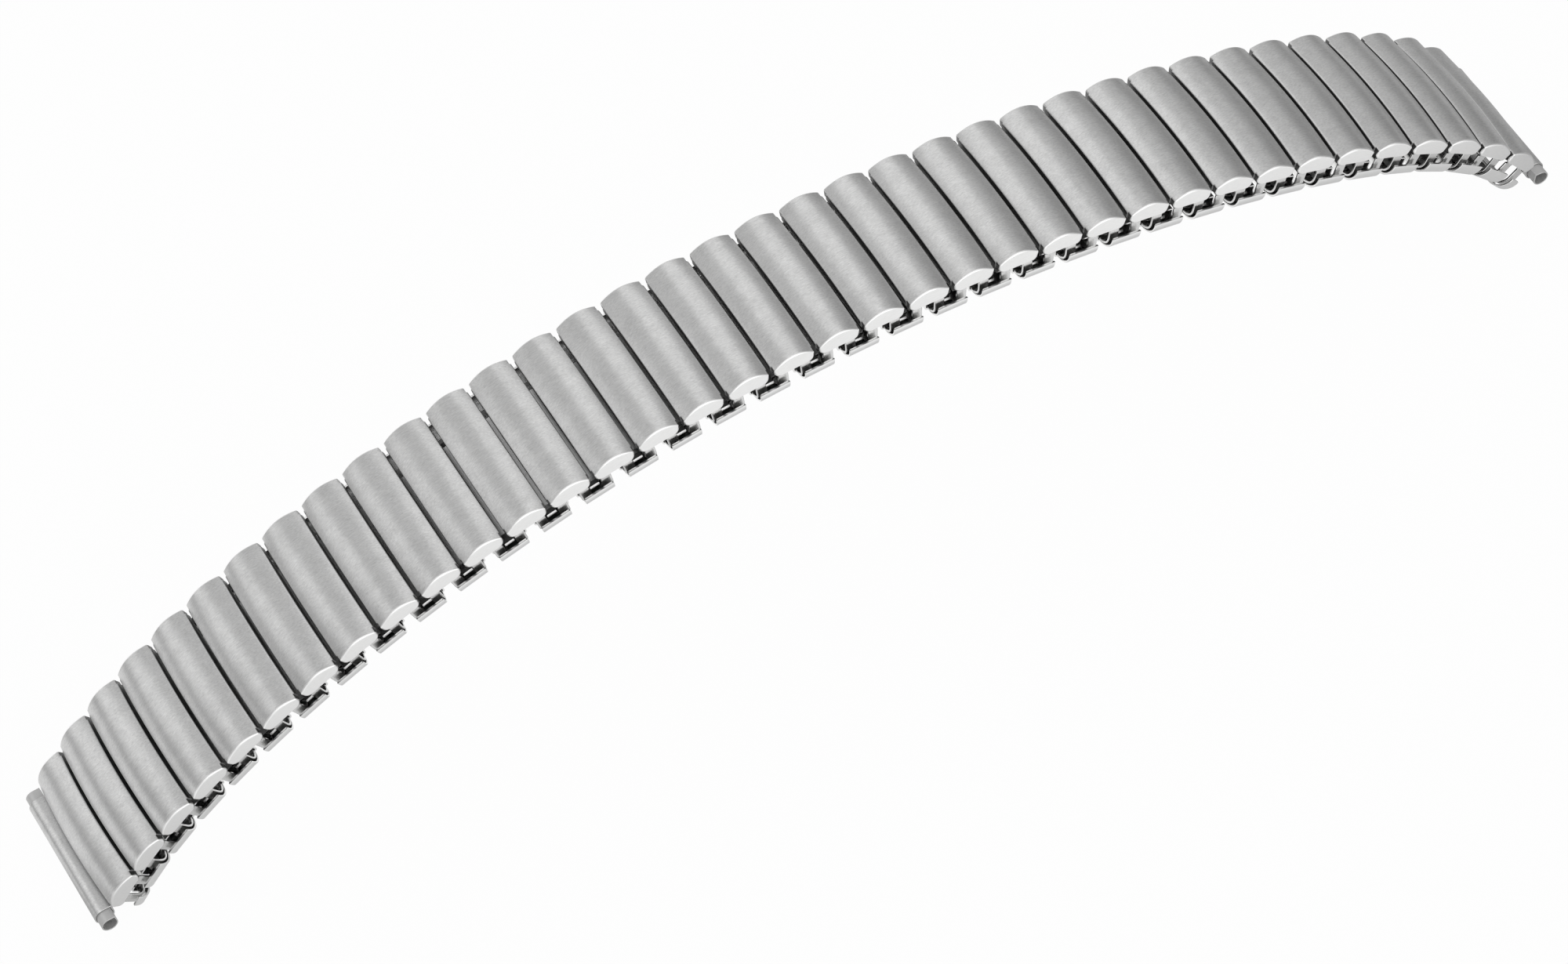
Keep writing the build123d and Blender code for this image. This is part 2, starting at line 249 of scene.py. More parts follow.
def frame_at(place, slope):
    """World matrix of a local frame on the arch."""
    return (Matrix.Translation((place.x * MM, 0, place.y * MM))
            @ Matrix.Rotation(math.radians(slope), 4, "Y"))


def top_frame(link):
    """Frame at the centre of a top link."""
    return frame_at(PLACES[link], SLOPES[link])


def gap_frame(gap):
    """Frame at a gap, with the mean slope of the links beside it."""
    slope = math.radians(SLOPES[gap])
    place = PLACES[gap] + Vector((math.cos(slope), -math.sin(slope))) * (LINK_PITCH / 2)
    return frame_at(place, (SLOPES[gap] + SLOPES[gap + 1]) / 2)


class Form:
    """Vertices and faces of one piece, in millimetres, with a material number for each face."""

    def __init__(self):
        self.points = []
        self.faces = []
        self.paint = []

    def add(self, points, faces, paint):
        """Append points and faces."""
        start = len(self.points)
        self.points += [tuple(point) for point in points]
        self.faces += [tuple(start + index for index in face) for face in faces]
        self.paint += paint
        return self

    def grid(self, rows, paint=0, close_rows=False, close_columns=False, cap=False):
        """Join rows of points into quads."""
        count = len(rows[0])
        faces = []
        row_total = len(rows) if close_rows else len(rows) - 1
        column_total = count if close_columns else count - 1
        for row in range(row_total):
            after = (row + 1) % len(rows)
            for column in range(column_total):
                right = (column + 1) % count
                faces.append((row * count + column, row * count + right,
                              after * count + right, after * count + column))
        if cap:
            faces.append(tuple(reversed(range(count))))
            faces.append(tuple((len(rows) - 1) * count + index for index in range(count)))
        return self.add([point for row in rows for point in row], faces, [paint] * len(faces))

    def turned(self):
        """Copy turned half round about Z."""
        return Form().add([(-x, -y, z) for x, y, z in self.points], self.faces, self.paint)

    def mirrored(self):
        """Copy mirrored across the band."""
        return Form().add([(x, -y, z) for x, y, z in self.points],
                          [tuple(reversed(face)) for face in self.faces], self.paint)

    def join(self, other):
        """Add another form."""
        return self.add(other.points, other.faces, other.paint)

    def mesh(self, name, finishes):
        """Blender mesh with smooth shading and crisp edges."""
        mesh = bpy.data.meshes.new(name)
        mesh.from_pydata([(x * MM, y * MM, z * MM) for x, y, z in self.points], [], self.faces)
        for finish in finishes:
            mesh.materials.append(finish)
        mesh.polygons.foreach_set("material_index", self.paint)
        mesh.polygons.foreach_set("use_smooth", [True] * len(self.faces))
        mesh.update()
        mesh.set_sharp_from_angle(angle=math.radians(SHARP_ANGLE))
        return mesh


def place_piece(name, mesh, matrix, body, *nodes):
    """Put a mesh on the arch, let it ride on its body and stand for its nodes."""
    piece = bpy.data.objects.new(name, mesh)
    bpy.context.collection.objects.link(piece)
    piece.matrix_world = matrix
    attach(piece, body)
    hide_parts(*nodes)


def clamped(value):
    """Value held between zero and one."""
    return min(1.0, max(0.0, value))


def eased(value):
    """Value held between zero and one, with a smooth start and end."""
    share = clamped(value)
    return share * share * (3 - 2 * share)


def arc(centre, radius, start, end, steps):
    """Points on an arc in a plane, angles in degrees."""
    points = []
    for index in range(steps + 1):
        angle = math.radians(start + (end - start) * index / steps)
        points.append((centre[0] + radius * math.cos(angle), centre[1] + radius * math.sin(angle)))
    return points


def rounded_box(x_low, x_high, z_low, z_high, radius, steps=5):
    """Counter-clockwise outline of a rounded rectangle in XZ."""
    points = []
    for centre, start in (((x_high - radius, z_low + radius), -90),
                          ((x_high - radius, z_high - radius), 0),
                          ((x_low + radius, z_high - radius), 90),
                          ((x_low + radius, z_low + radius), 180)):
        points += arc(centre, radius, start, start + 90, steps)
    return points


def headings(path):
    """Direction of an open path at each of its points."""
    last = len(path) - 1
    found = []
    for index in range(last + 1):
        before = Vector(path[max(index - 1, 0)])
        after = Vector(path[min(index + 1, last)])
        found.append((after - before).normalized())
    return found


def inset(outline, amount):
    """Move a closed outline inwards; it runs counter-clockwise."""
    result = []
    count = len(outline)
    for index, point in enumerate(outline):
        before = Vector(point) - Vector(outline[index - 1])
        after = Vector(outline[(index + 1) % count]) - Vector(point)
        normals = []
        for edge in (before, after):
            if edge.length > TINY:
                edge.normalize()
                normals.append(Vector((-edge.y, edge.x)))
        normal = sum(normals, Vector((0, 0)))
        normal.normalize()
        spread = max(LEAST_SPREAD, normal.dot(normals[0]))
        result.append((point[0] + normal.x * amount / spread, point[1] + normal.y * amount / spread))
    return result


def across(outline, start, end, edge=CHAMFER):
    """Solid of an XZ outline from Y=start to Y=end with chamfered ends."""
    small = inset(outline, edge)
    rings = ((start, small), (start + edge, outline), (end - edge, outline), (end, small))
    rows = [[(x, y, z) for x, z in ring] for y, ring in rings]
    return Form().grid(rows, close_columns=True, cap=True)


def ring_across(outer, inner, start, end, edge=CHAMFER):
    """Tube between two XZ outlines with as many points each."""
    small = inset(outer, edge)
    wide = inset(inner, -edge)
    rings = ((start + edge, inner), (start, wide), (start, small), (start + edge, outer),
             (end - edge, outer), (end, small), (end, wide), (end - edge, inner))
    rows = [[(x, y, z) for x, z in ring] for y, ring in rings]
    return Form().grid(rows, close_rows=True, close_columns=True)


def strip(path, ranges, sheet, edge, paint=0):
    """Sheet that follows a YZ path; ranges give its X limits at each point."""
    rows = []
    half = sheet / 2
    for (y, z), heading, (low, high) in zip(path, headings(path), ranges):
        normal = Vector((-heading.y, heading.x))
        ring = []
        for x, lift in ((low, -half + edge), (low + edge, -half), (high - edge, -half),
                        (high, -half + edge), (high, half - edge), (high - edge, half),
                        (low + edge, half), (low, half - edge)):
            ring.append((x, y + normal.x * lift, z + normal.y * lift))
        rows.append(ring)
    return Form().grid(rows, paint, close_columns=True, cap=True)


def half_length_at(y):
    """Half the shell's length at a distance from its middle: notched in front of the cap."""
    share = eased((abs(y) - NOTCH_START) / (NOTCH_END - NOTCH_START))
    return SHELL_HALF_LENGTH + (CAP_HALF_LENGTH - SHELL_HALF_LENGTH) * share


def shell_outline(y, full):
    """Open outline of the shell over its crown, from its lower left to its lower right."""
    length = half_length_at(y)
    share = min(1.0, abs(y) / SHELL_HALF_WIDTH)
    edge = EDGE_RISE * (1 - share ** 2)
    height = CROWN_HEIGHT + CROWN_HEIGHT_GAIN * share ** 4
    meet = length - CROWN_EDGE_ROUND
    for _ in range(MEET_ROUNDS):
        slope = math.atan(2 * height * meet / SHELL_HALF_LENGTH ** 2)
        meet = length - CROWN_EDGE_ROUND + CROWN_EDGE_ROUND * math.sin(slope)
    right = []
    for index in range(CROWN_STEPS + 1):
        x = meet * index / CROWN_STEPS
        right.append((x, edge + height * (1 - (x / SHELL_HALF_LENGTH) ** 2)))
    centre = (length - CROWN_EDGE_ROUND, right[-1][1] - CROWN_EDGE_ROUND * math.cos(slope))
    right += arc(centre, CROWN_EDGE_ROUND, 90 - math.degrees(slope), 0, CROWN_EDGE_STEPS)[1:]
    top = right[-1][1]
    corner_top = SHELL_BOTTOM + SHELL_CORNER
    for index in range(1, SHELL_WALL_STEPS):
        right.append((length, top + (corner_top - top) * index / SHELL_WALL_STEPS))
    low = SHELL_BOTTOM if full else SHELL_WALL_BOTTOM
    corner = arc((length - SHELL_CORNER, corner_top), SHELL_CORNER, 0, -90, SHELL_CORNER_STEPS)
    for x, z in corner:
        if z < low:
            x = length - SHELL_CORNER + math.sqrt(SHELL_CORNER ** 2 - (low - corner_top) ** 2)
            z = low
        right.append((x, z))
    return [(-x, z) for x, z in reversed(right[1:])] + right


def rim_at(x, z):
    """Size of the rounding between the crown or a wall and the cap."""
    if z > RIM_WALL_TOP:
        share = max(0.0, 1 - (x / CAP_HALF_LENGTH) ** 2)
    else:
        share = min(1.0, (RIM_WALL_TOP - z) / RIM_WALL_REACH)
    return RIM_ROUND_LEAST + (RIM_ROUND - RIM_ROUND_LEAST) * share


def crown_rows(rims):
    """Outlines of the shell from its middle to the rounding beside a cap."""
    rows = [[(x, y, z) for x, z in shell_outline(y, False)] for y in CROWN_STATIONS]
    for back, full in RIM_LEAD_IN:
        row = []
        for index, rim in enumerate(rims):
            y = SHELL_HALF_WIDTH - rim - back
            x, z = shell_outline(y, full)[index]
            row.append((x, y, z))
        rows.append(row)
    return rows


def cap_rows(final, rims, inwards):
    """Rows of the rounding, from the last row of the crown to the flat of the cap."""
    rows = [final]
    first = math.radians(RIM_START)
    whole = math.radians(RIM_END)
    for step in range(1, RIM_STEPS + 1):
        angle = first + (whole - first) * step / RIM_STEPS
        out = (math.sin(angle) - math.sin(first)) / (math.sin(whole) - math.sin(first))
        depth = (math.cos(first) - math.cos(angle)) / (math.cos(first) - math.cos(whole))
        row = []
        for (x, y, z), rim, inward in zip(final, rims, inwards):
            move = inward * rim * depth
            row.append((x + move.x, y + rim * out, max(z + move.y, SHELL_BOTTOM)))
        rows.append(row)
    return rows


def shell_form():
    """Crowned shell with two long walls and a rounded cap at each end."""
    last = shell_outline(SHELL_HALF_WIDTH, True)
    count = len(last)
    inwards = [Vector((heading.y, -heading.x)) for heading in headings(last)]
    rims = [rim_at(x, z) for x, z in last]
    crown = crown_rows(rims)
    other_half = [[(x, -y, z) for x, y, z in row] for row in reversed(crown[1:])]
    form = Form().grid(other_half + crown)
    columns = count - 1
    # Faces past the crown's rounding get the dark steel: painted shade in the gaps between links
    wall = (columns - 2 * (CROWN_STEPS + CROWN_EDGE_SATIN_STEPS)) // 2
    for index in range(len(form.faces)):
        if not wall <= index % columns < columns - wall:
            form.paint[index] = SHADED_PAINT
    # The cap roundings and flats get the lighter steel: a painted reflection of the white floor
    rows = cap_rows(crown[-1], rims, inwards)
    cap = Form().grid(rows, LIT_PAINT)
    cap.faces.append(tuple((len(rows) - 1) * count + index for index in range(count)))
    cap.paint.append(LIT_PAINT)
    return form.join(cap).join(cap.mirrored())


def solidified(form, name, finishes, thickness):
    """Form with wall thickness laid inwards, as plain mesh."""
    mesh = form.mesh(name + "_skin", finishes)
    piece = bpy.data.objects.new(name + "_skin", mesh)
    bpy.context.collection.objects.link(piece)
    weld = piece.modifiers.new("weld", "WELD")
    weld.merge_threshold = SHELL_WELD
    wall = piece.modifiers.new("wall", "SOLIDIFY")
    wall.thickness = thickness * MM
    wall.offset = -1
    wall.use_quality_normals = True
    wall.use_even_offset = False
    ready = bpy.data.meshes.new_from_object(
        piece.evaluated_get(bpy.context.evaluated_depsgraph_get()))
    ready.name = name
    bpy.data.objects.remove(piece)
    ready.set_sharp_from_angle(angle=math.radians(SHELL_SHARP_ANGLE))
    return ready


def sleeve_form():
    """Flat tube inside a shell."""
    outer = rounded_box(-SLEEVE_HALF_LENGTH, SLEEVE_HALF_LENGTH, SLEEVE_BOTTOM, SLEEVE_TOP,
                        SLEEVE_CORNER)
    inner = rounded_box(SLEEVE_WALL - SLEEVE_HALF_LENGTH, SLEEVE_HALF_LENGTH - SLEEVE_WALL,
                        SLEEVE_BOTTOM + SLEEVE_WALL, SLEEVE_TOP - SLEEVE_WALL,
                        SLEEVE_CORNER - SLEEVE_WALL)
    return ring_across(outer, inner, -SLEEVE_HALF_WIDTH, SLEEVE_HALF_WIDTH)


def leaf_form(half_length, half_width, rest, dip, middle=0.0):
    """Leaf spring with a dipped middle and rounded tips."""
    path = []
    ranges = []
    for index in range(LEAF_STEPS + 1):
        y = -half_width + 2 * half_width * index / LEAF_STEPS
        share = eased((LEAF_DIP_END - abs(y)) / LEAF_DIP_SLOPE)
        path.append((y, rest - LEAF_SHEET / 2 + (dip - rest) * share))
        roundness = math.sqrt(min(1.0, (half_width - abs(y)) / LEAF_TIP_LENGTH))
        tip = min(1.0, LEAF_TIP_SHARE + (1 - LEAF_TIP_SHARE) * roundness)
        ranges.append((middle - half_length * tip, middle + half_length * tip))
    return strip(path, ranges, LEAF_SHEET, LEAF_EDGE)


def bow_form():
    """Bow on the +X, +Y side of a top link."""
    face = BOW_FACE - BOW_SHEET / 2
    path = [(y, BOW_UPPER) for y in BOW_UPPER_LEG]
    path += arc((face - BOW_UPPER_BEND, BOW_UPPER - BOW_UPPER_BEND), BOW_UPPER_BEND, 90, 0,
                BOW_UPPER_BEND_STEPS)
    path += [(face, z) for z in BOW_STRAIGHT]
    path += arc((face - BOW_LOWER_BEND, BOW_LOWER + BOW_LOWER_BEND), BOW_LOWER_BEND, 0, -90,
                BOW_LOWER_BEND_STEPS)
    path += [(y, BOW_LOWER) for y in BOW_LOWER_LEG]
    ranges = []
    for _, z in path:
        share = clamped((BOW_NECK_BOTTOM - z) / BOW_NECK_SLOPE)
        low, high = [neck + gain * share for neck, gain in zip(BOW_NECK, BOW_NECK_GAIN)]
        ranges.append((low, high))
    return strip(path, ranges, BOW_SHEET, BOW_EDGE)


def folded_tube(x_low, x_high, seam):
    """Tube of a lower link, open along a seam in its top wall."""
    outer = rounded_box(x_low, x_high, LOWER_BOTTOM, LOWER_TOP, TUBE_CORNER, TUBE_CORNER_STEPS)
    inner = rounded_box(x_low + TUBE_WALL, x_high - TUBE_WALL, LOWER_BOTTOM + LOWER_SHEET,
                        LOWER_TOP - TUBE_WALL, TUBE_CORNER - TUBE_WALL, TUBE_CORNER_STEPS)
    start = next(index for index, (x, z) in enumerate(outer)
                 if z > LOWER_TOP - NEARLY and x < seam)
    lines = []
    for outline, top in ((outer, LOWER_TOP), (inner, LOWER_TOP - TUBE_WALL)):
        lines.append([(seam - SEAM_HALF_GAP, top)] + outline[start:] + outline[:start]
                     + [(seam + SEAM_HALF_GAP, top)])
    ring = lines[0] + list(reversed(lines[1]))
    return across(ring, -TUBE_HALF_WIDTH, TUBE_HALF_WIDTH, edge=0.0)


def tab_form(half_length):
    """Tabs at both ends of a lower link's tube: a flat part painted dark as painted shade, and a bent
    lip painted bright as a painted highlight.
    """
    tip = TUBE_HALF_WIDTH + TAB_REACH
    bent = [(tip - back, LOWER_TOP - drop) for back, drop in TAB_LIP]
    flat = [(TUBE_HALF_WIDTH - TAB_ROOT, bent[0][1]), bent[0]]
    form = Form()
    for path, paint in ((flat, SHADED_PAINT), (bent, LIT_PAINT)):
        end = strip(path, [(-half_length, half_length)] * len(path), TUBE_WALL, TAB_EDGE, paint)
        form.join(end).join(end.mirrored())
    return form


def lower_form(x_low, x_high, flap_low, flap_high, seam):
    """Lower link: floor with turned-up ends and the tube folded from it."""
    radius = LOWER_FLAP_RADIUS - LOWER_SHEET / 2
    centre = (LOWER_HALF_WIDTH - LOWER_FLAP_RADIUS, LOWER_BOTTOM + LOWER_FLAP_RADIUS)
    face = centre[0] + radius
    up = [(face, LOWER_FLAP_TOP - drop, trim) for drop, trim in LOWER_FLAP_TRIMS]
    up += [(y, z, 0.0) for y, z in arc(centre, radius, 0, -90, LOWER_FLAP_STEPS)]
    whole = [(-y, z, trim) for y, z, trim in up] + list(reversed(up))
    path = [(y, z) for y, z, _ in whole]
    ranges = [(flap_low + trim, flap_high - trim) for _, _, trim in whole]
    return strip(path, ranges, LOWER_SHEET, LOWER_EDGE).join(folded_tube(x_low, x_high, seam))


def teardrop(radius):
    """Counter-clockwise outline of the roll, drawn to a point towards the link."""
    sweep = 90 + ROLL_POINT_ANGLE
    tip = (ROLL_CENTRE[0] - radius / math.sin(math.radians(ROLL_POINT_ANGLE)), ROLL_CENTRE[1])
    return arc(ROLL_CENTRE, radius, -sweep, sweep, ROLL_STEPS) + [tip]


def end_sleeve_form():
    """End roll with its tongue."""
    form = ring_across(teardrop(ROLL_OUTER), teardrop(ROLL_INNER), -ROLL_HALF_WIDTH, ROLL_HALF_WIDTH)
    tongue = [(TONGUE_START, TONGUE_BOTTOM), (TONGUE_END, TONGUE_BOTTOM),
              (TONGUE_END, TONGUE_TOP), (TONGUE_START, TONGUE_TOP)]
    return form.join(across(tongue, -TONGUE_HALF_WIDTH, TONGUE_HALF_WIDTH))


def insert_form():
    """Telescopic insert on the +Y side."""
    return ring_across(teardrop(INSERT_OUTER), teardrop(INSERT_INNER), INSERT_START, INSERT_END,
                       INSERT_CHAMFER)


class Wire:
    """A shader socket that takes part in plain arithmetic."""

    def __init__(self, surface, socket):
        self.surface = surface
        self.socket = socket

    def _math(self, operation, left, right):
        return self.surface.node("ShaderNodeMath", {"operation": operation}, {0: left, 1: right})

    def __add__(self, other):
        return self._math("ADD", self, other)

    def __radd__(self, other):
        return self._math("ADD", other, self)

    def __sub__(self, other):
        return self._math("SUBTRACT", self, other)

    def __rsub__(self, other):
        return self._math("SUBTRACT", other, self)

    def __mul__(self, other):
        return self._math("MULTIPLY", self, other)

    def __rmul__(self, other):
        return self._math("MULTIPLY", other, self)


class Surface:
    """Nodes of a material or of the world, under construction."""

    def __init__(self, owner):
        owner.use_nodes = True
        self.owner = owner
        self.tree = owner.node_tree
        self.tree.nodes.clear()

    def node(self, kind, settings=None, values=None, output=0):
        """Add a node, set it up and return one output as a wire."""
        made = self.tree.nodes.new(kind)
        for key, value in (settings or {}).items():
            setattr(made, key, value)
        for key, value in (values or {}).items():
            if isinstance(value, Wire):
                self.tree.links.new(value.socket, made.inputs[key])
            else:
                made.inputs[key].default_value = value
        return Wire(self, made.outputs[output])

    def vector(self, operation, left, right, output=0):
        """Vector Math on two places."""
        return self.node("ShaderNodeVectorMath", {"operation": operation}, {0: left, 1: right}, output)

    def fade(self, value, low, high, start, finish):
        """Smooth change from start to finish while a value goes from low to high."""
        return self.node("ShaderNodeMapRange", {"interpolation_type": "SMOOTHSTEP"},
                         {"Value": value, "From Min": low, "From Max": high,
                          "To Min": start, "To Max": finish})

    def grey(self, value):
        """Colour with one value in all its channels."""
        return self.node("ShaderNodeCombineColor", None, {0: value, 1: value, 2: value})

    def finish(self, shader, output="ShaderNodeOutputMaterial"):
        """Connect the shader to the output and return the material or the world."""
        made = self.tree.nodes.new(output)
        self.tree.links.new(shader.socket, made.inputs["Surface"])
        return self.owner


def steel(name, bright, rough, streak, groove=0.0, metallic=1.0):
    """Steel brushed along the band: short streaks over faint blotches."""
    surface = Surface(bpy.data.materials.new(name))
    place = surface.node("ShaderNodeTexCoord", output="Object")
    location = surface.node("ShaderNodeObjectInfo", output="Location")
    moved = surface.vector("ADD", place, surface.vector("MULTIPLY", location, PATTERN_SHIFT))

    def grain(along, over, up, detail):
        """Noise stretched along the band, centred on zero."""
        stretched = surface.vector("MULTIPLY", moved, (along, over, up))
        return surface.node("ShaderNodeTexNoise", None,
                            {"Vector": stretched, "Scale": 1.0, "Detail": detail,
                             "Roughness": GRAIN_ROUGHNESS}) - NOISE_MIDDLE

    fine = grain(along=1900.0, over=12000.0, up=7000.0, detail=2.0)
    short = grain(along=3800.0, over=7500.0, up=6000.0, detail=1.0)
    patch = grain(along=420.0, over=900.0, up=700.0, detail=2.0)
    mottle = fine * FINE_SHARE + short * SHORT_SHARE + patch * PATCH_SHARE
    tone = mottle * (streak * bright) + bright
    colour = surface.node("ShaderNodeCombineColor", None, {0: tone, 1: tone, 2: tone * BLUE_SHARE})
    dull = mottle * (ROUGH_SHARE * streak * rough) + rough
    values = {"Base Color": colour, "Metallic": metallic, "Roughness": dull}
    if groove:
        values["Normal"] = surface.node("ShaderNodeBump", None,
                                        {"Strength": groove, "Distance": GROOVE_DEPTH,
                                         "Height": fine + short * GROOVE_SHORT_SHARE})
    return surface.finish(surface.node("ShaderNodeBsdfPrincipled", None, values))


satin_steel = steel("satin_steel", bright=0.64, rough=0.34, streak=0.55, groove=0.35)
# Caps and tab lips: the satin steel painted lighter, a painted reflection of the white floor on top of
# the real one
lit_steel = steel("lit_steel", bright=0.93, rough=0.3, streak=0.1)
# Walls between links, sleeves and tab floors: steel painted dark, painted shade in the gaps and
# hollows
shaded_steel = steel("shaded_steel", bright=0.2, rough=0.45, streak=0.3)
sheet_steel = steel("sheet_steel", bright=0.74, rough=0.24, streak=0.2)
folded_steel = steel("folded_steel", bright=0.92, rough=0.28, streak=0.1)
spring_steel = steel("spring_steel", bright=0.45, rough=0.3, streak=0.25)
mouth_steel = steel("mouth_steel", bright=0.6, rough=0.45, streak=0.1, metallic=0.5)

shell_mesh = solidified(shell_form(), "link_shell", [satin_steel, lit_steel, shaded_steel], SHELL_SHEET)
# The sleeve gets the dark steel: painted shade inside the shell
sleeve_mesh = sleeve_form().mesh("upper_sleeve", [shaded_steel])
upper_leaf = leaf_form(half_length=1.5, half_width=6.8, rest=-0.36, dip=-0.82)
upper_leaf_mesh = upper_leaf.mesh("upper_leaf", [spring_steel])
lower_link = lower_form(x_low=-1.82, x_high=1.82, flap_low=-1.5, flap_high=1.5, seam=0.95)
lower_link.join(tab_form(half_length=0.5))
lower_mesh = lower_link.mesh("lower_sleeve", [folded_steel, lit_steel, shaded_steel])
lower_leaf = leaf_form(half_length=1.5, half_width=5.95, rest=-3.1, dip=-3.66)
lower_leaf_mesh = lower_leaf.mesh("lower_leaf", [spring_steel])
bow_pair = bow_form().join(bow_form().mirrored())
bow_mesh = bow_pair.mesh("bow_pair", [sheet_steel])
bow_turned_mesh = bow_pair.turned().mesh("bow_pair_turned", [sheet_steel])

for link in range(1, LINK_COUNT + 1):
    node = f"top_link_{link:02d}"
    for name, mesh in (("shell", shell_mesh), ("sleeve", sleeve_mesh), ("leaf", upper_leaf_mesh)):
        place_piece(f"{name}_{link:02d}", mesh.copy(), top_frame(link), node, node)

# An even gap's lower link rides on the top link on its outer side
for gap in range(1, LINK_COUNT):
    outer_link = gap if gap < ROOT_LINK else gap + 1
    node = f"lower_link_{gap:02d}" if gap % 2 else f"top_link_{outer_link:02d}"
    for name, mesh, matrix in (("lower_sleeve", lower_mesh, gap_frame(gap)),
                               ("lower_leaf", lower_leaf_mesh, gap_frame(gap)),
                               ("bows_left", bow_mesh, top_frame(gap)),
                               ("bows_right", bow_turned_mesh, top_frame(gap + 1))):
        place_piece(f"{name}_{gap:02d}", mesh.copy(), matrix, node, node)

end_lower = lower_form(x_low=0.4, x_high=1.86, flap_low=0.5, flap_high=1.62, seam=1.13)
end_leaf = leaf_form(half_length=0.45, half_width=5.95, rest=-3.1, dip=-3.66, middle=1.14)
roll = end_sleeve_form()
insert = insert_form()

for side, link, turn in (("left", 1, True), ("right", LINK_COUNT, False)):
    body = f"top_link_{link:02d}"
    matrix = top_frame(link)
    for name, form, finish, node in (("end_bows", bow_pair, sheet_steel, body),
                                     ("end_lower", end_lower, folded_steel, body),
                                     ("end_leaf", end_leaf, spring_steel, body),
                                     ("roll", roll, satin_steel, f"end_sleeve_{side}")):
        form = form.turned() if turn else form
        place_piece(f"{name}_{side}", form.mesh(f"{name}_{side}", [finish]), matrix, body, node)
    near = insert.turned() if turn else insert.mirrored()
    for place, form in (("near", near), ("far", near.mirrored())):
        node = f"end_insert_{side}_{place}"
        place_piece(node + "_tube", form.mesh(node, [mouth_steel]), matrix, node, node)

# Floor and backdrop
floor_mesh = bpy.data.meshes.new("floor")
floor_mesh.from_pydata([(-FLOOR_REACH, -FLOOR_REACH, 0), (FLOOR_REACH, -FLOOR_REACH, 0),
                        (FLOOR_REACH, FLOOR_REACH, 0), (-FLOOR_REACH, FLOOR_REACH, 0)],
                       [], [(0, 1, 2, 3)])
floor = bpy.data.objects.new("floor", floor_mesh)
bpy.context.collection.objects.link(floor)
floor.location.z = -FLOOR_DROP


def white_paper():
    """White for the camera; in the steel it fades far off and to the right, painted shade, and in
    front of the band, a painted shadow of the band.
    """
    paper = Surface(bpy.data.materials.new("white_paper"))
    seen = paper.node("ShaderNodeLightPath", output="Is Camera Ray")
    mirrored = paper.node("ShaderNodeLightPath", output="Is Glossy Ray")
    passed = paper.node("ShaderNodeLightPath", output="Is Transmission Ray")
    spot = paper.node("ShaderNodeTexCoord", output="Object")
    distance = paper.node("ShaderNodeVectorMath", {"operation": "LENGTH"}, {0: spot}, "Value")
    # The fades below are painted shade on the floor as the steel mirrors it; the one in front is the
    # band's painted shadow
    far_fade = paper.fade(distance, low=0.1, high=0.34, start=1.0, finish=0.45)
    rightwards = paper.vector("DOT_PRODUCT", spot, TO_THE_RIGHT, "Value")
    right_fade = paper.fade(rightwards, low=0.06, high=0.09, start=1.0, finish=0.5)
    in_front = paper.node("ShaderNodeSeparateXYZ", None, {0: spot}, "Y")
    shade_start = paper.fade(in_front, low=-0.03, high=-0.01, start=0.0, finish=1.0)
    shade_end = paper.fade(in_front, low=-0.004, high=0.004, start=1.0, finish=0.0)
    band_shade = 1.0 - shade_start * shade_end * BAND_SHADE
    pale = paper.grey(far_fade * right_fade * band_shade * (1.0 - seen) + seen)
    glow = paper.node("ShaderNodeEmission", None, {"Color": pale, "Strength": 1.0})
    diffuse = paper.node("ShaderNodeBsdfDiffuse", None, {"Color": FLOOR_GREY})
    background = seen * SEEN_WHITE + mirrored * MIRRORED_WHITE + passed * MIRRORED_WHITE
    return paper.finish(paper.node("ShaderNodeMixShader", None, {0: background, 1: diffuse, 2: glow}))


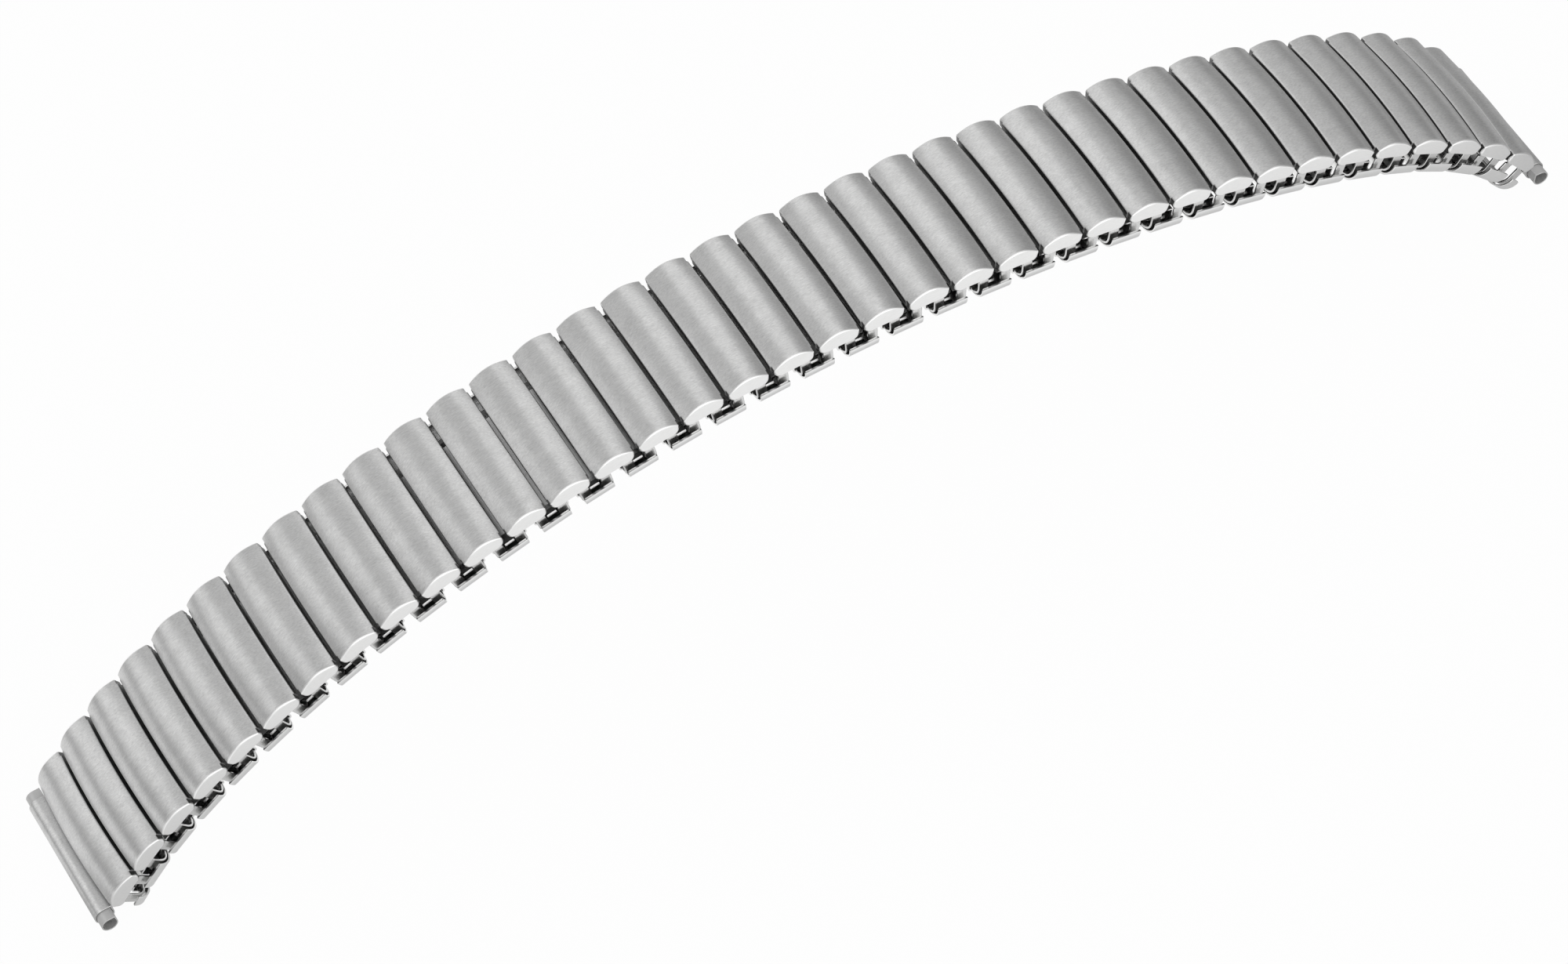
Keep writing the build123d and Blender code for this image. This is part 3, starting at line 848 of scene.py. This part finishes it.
def studio():
    """Soft grey room, darker to both sides, with a bright low front; white for the camera."""
    air = Surface(bpy.data.worlds.new("studio"))
    heading = air.node("ShaderNodeTexCoord", output="Generated")

    def ramp(towards, low, high, start, finish):
        """Smooth change of light along one direction."""
        facing = air.vector("DOT_PRODUCT", heading, tuple(Vector(towards).normalized()), "Value")
        return air.fade(facing, low, high, start, finish)

    light = (ramp((1, 0, 0), low=0.5, high=0.98, start=ROOM, finish=ROOM_RIGHT)
             + ramp((-1, 0, 0), low=0.5, high=0.85, start=0.0, finish=ROOM_LEFT)
             + ramp(LOW_FRONT, low=0.55, high=0.95, start=0.0, finish=ROOM_FRONT))
    sky = air.node("ShaderNodeBackground", None, {"Color": air.grey(light), "Strength": 1.0})
    white = air.node("ShaderNodeBackground", None, {"Color": WHITE, "Strength": 1.0})
    camera_ray = air.node("ShaderNodeLightPath", output="Is Camera Ray")
    mixed = air.node("ShaderNodeMixShader", None, {0: camera_ray, 1: sky, 2: white})
    return air.finish(mixed, "ShaderNodeOutputWorld")


def softbox(name, place, aim, width, height, brightness):
    """Soft lamp whose face has the given brightness."""
    lamp = bpy.data.lights.new(name, "AREA")
    lamp.shape = "RECTANGLE"
    lamp.size = width * MM
    lamp.size_y = height * MM
    lamp.energy = brightness * math.pi * width * height * MM * MM
    holder = bpy.data.objects.new(name, lamp)
    bpy.context.collection.objects.link(holder)
    place = Vector(place) * MM
    facing = (Vector(aim) * MM - place).to_track_quat("-Z", "Y").to_matrix().to_4x4()
    holder.matrix_world = Matrix.Translation(place) @ facing


def photo_camera():
    """Camera with the photograph's place, roll and lens."""
    azimuth = math.radians(CAMERA_AZIMUTH)
    elevation = math.radians(CAMERA_ELEVATION)
    roll_angle = math.radians(CAMERA_ROLL)
    back = Vector((math.cos(elevation) * math.sin(azimuth), -math.cos(elevation) * math.cos(azimuth),
                   math.sin(elevation)))
    right = (-back).cross(Vector((0, 0, 1))).normalized()
    up = right.cross(-back)
    right_rolled = math.cos(roll_angle) * right + math.sin(roll_angle) * up
    up_rolled = -math.sin(roll_angle) * right + math.cos(roll_angle) * up
    data = bpy.data.cameras.new("camera")
    data.sensor_fit = "HORIZONTAL"
    data.sensor_width = SENSOR_WIDTH
    data.lens = SENSOR_WIDTH * FOCAL_PIXELS / PHOTO_WIDTH
    data.clip_start = CLIP_START
    data.clip_end = CLIP_END
    camera = bpy.data.objects.new("camera", data)
    bpy.context.collection.objects.link(camera)
    turn = Matrix((right_rolled, up_rolled, back)).transposed().to_4x4()
    place = Vector(CAMERA_TARGET) * MM + back * CAMERA_DISTANCE * MM
    camera.matrix_world = Matrix.Translation(place) @ turn
    return camera


floor_mesh.materials.append(white_paper())
bpy.context.scene.world = studio()
softbox("overhead_softbox", place=(22, 52, 102), aim=(0, 0, 25), width=66, height=90, brightness=0.37)
softbox("left_softbox", place=(-128, 66, 78), aim=(-50, 0, 10), width=66, height=90, brightness=0.42)
bpy.context.scene.camera = photo_camera()
bpy.context.scene.view_settings.view_transform = "Standard"
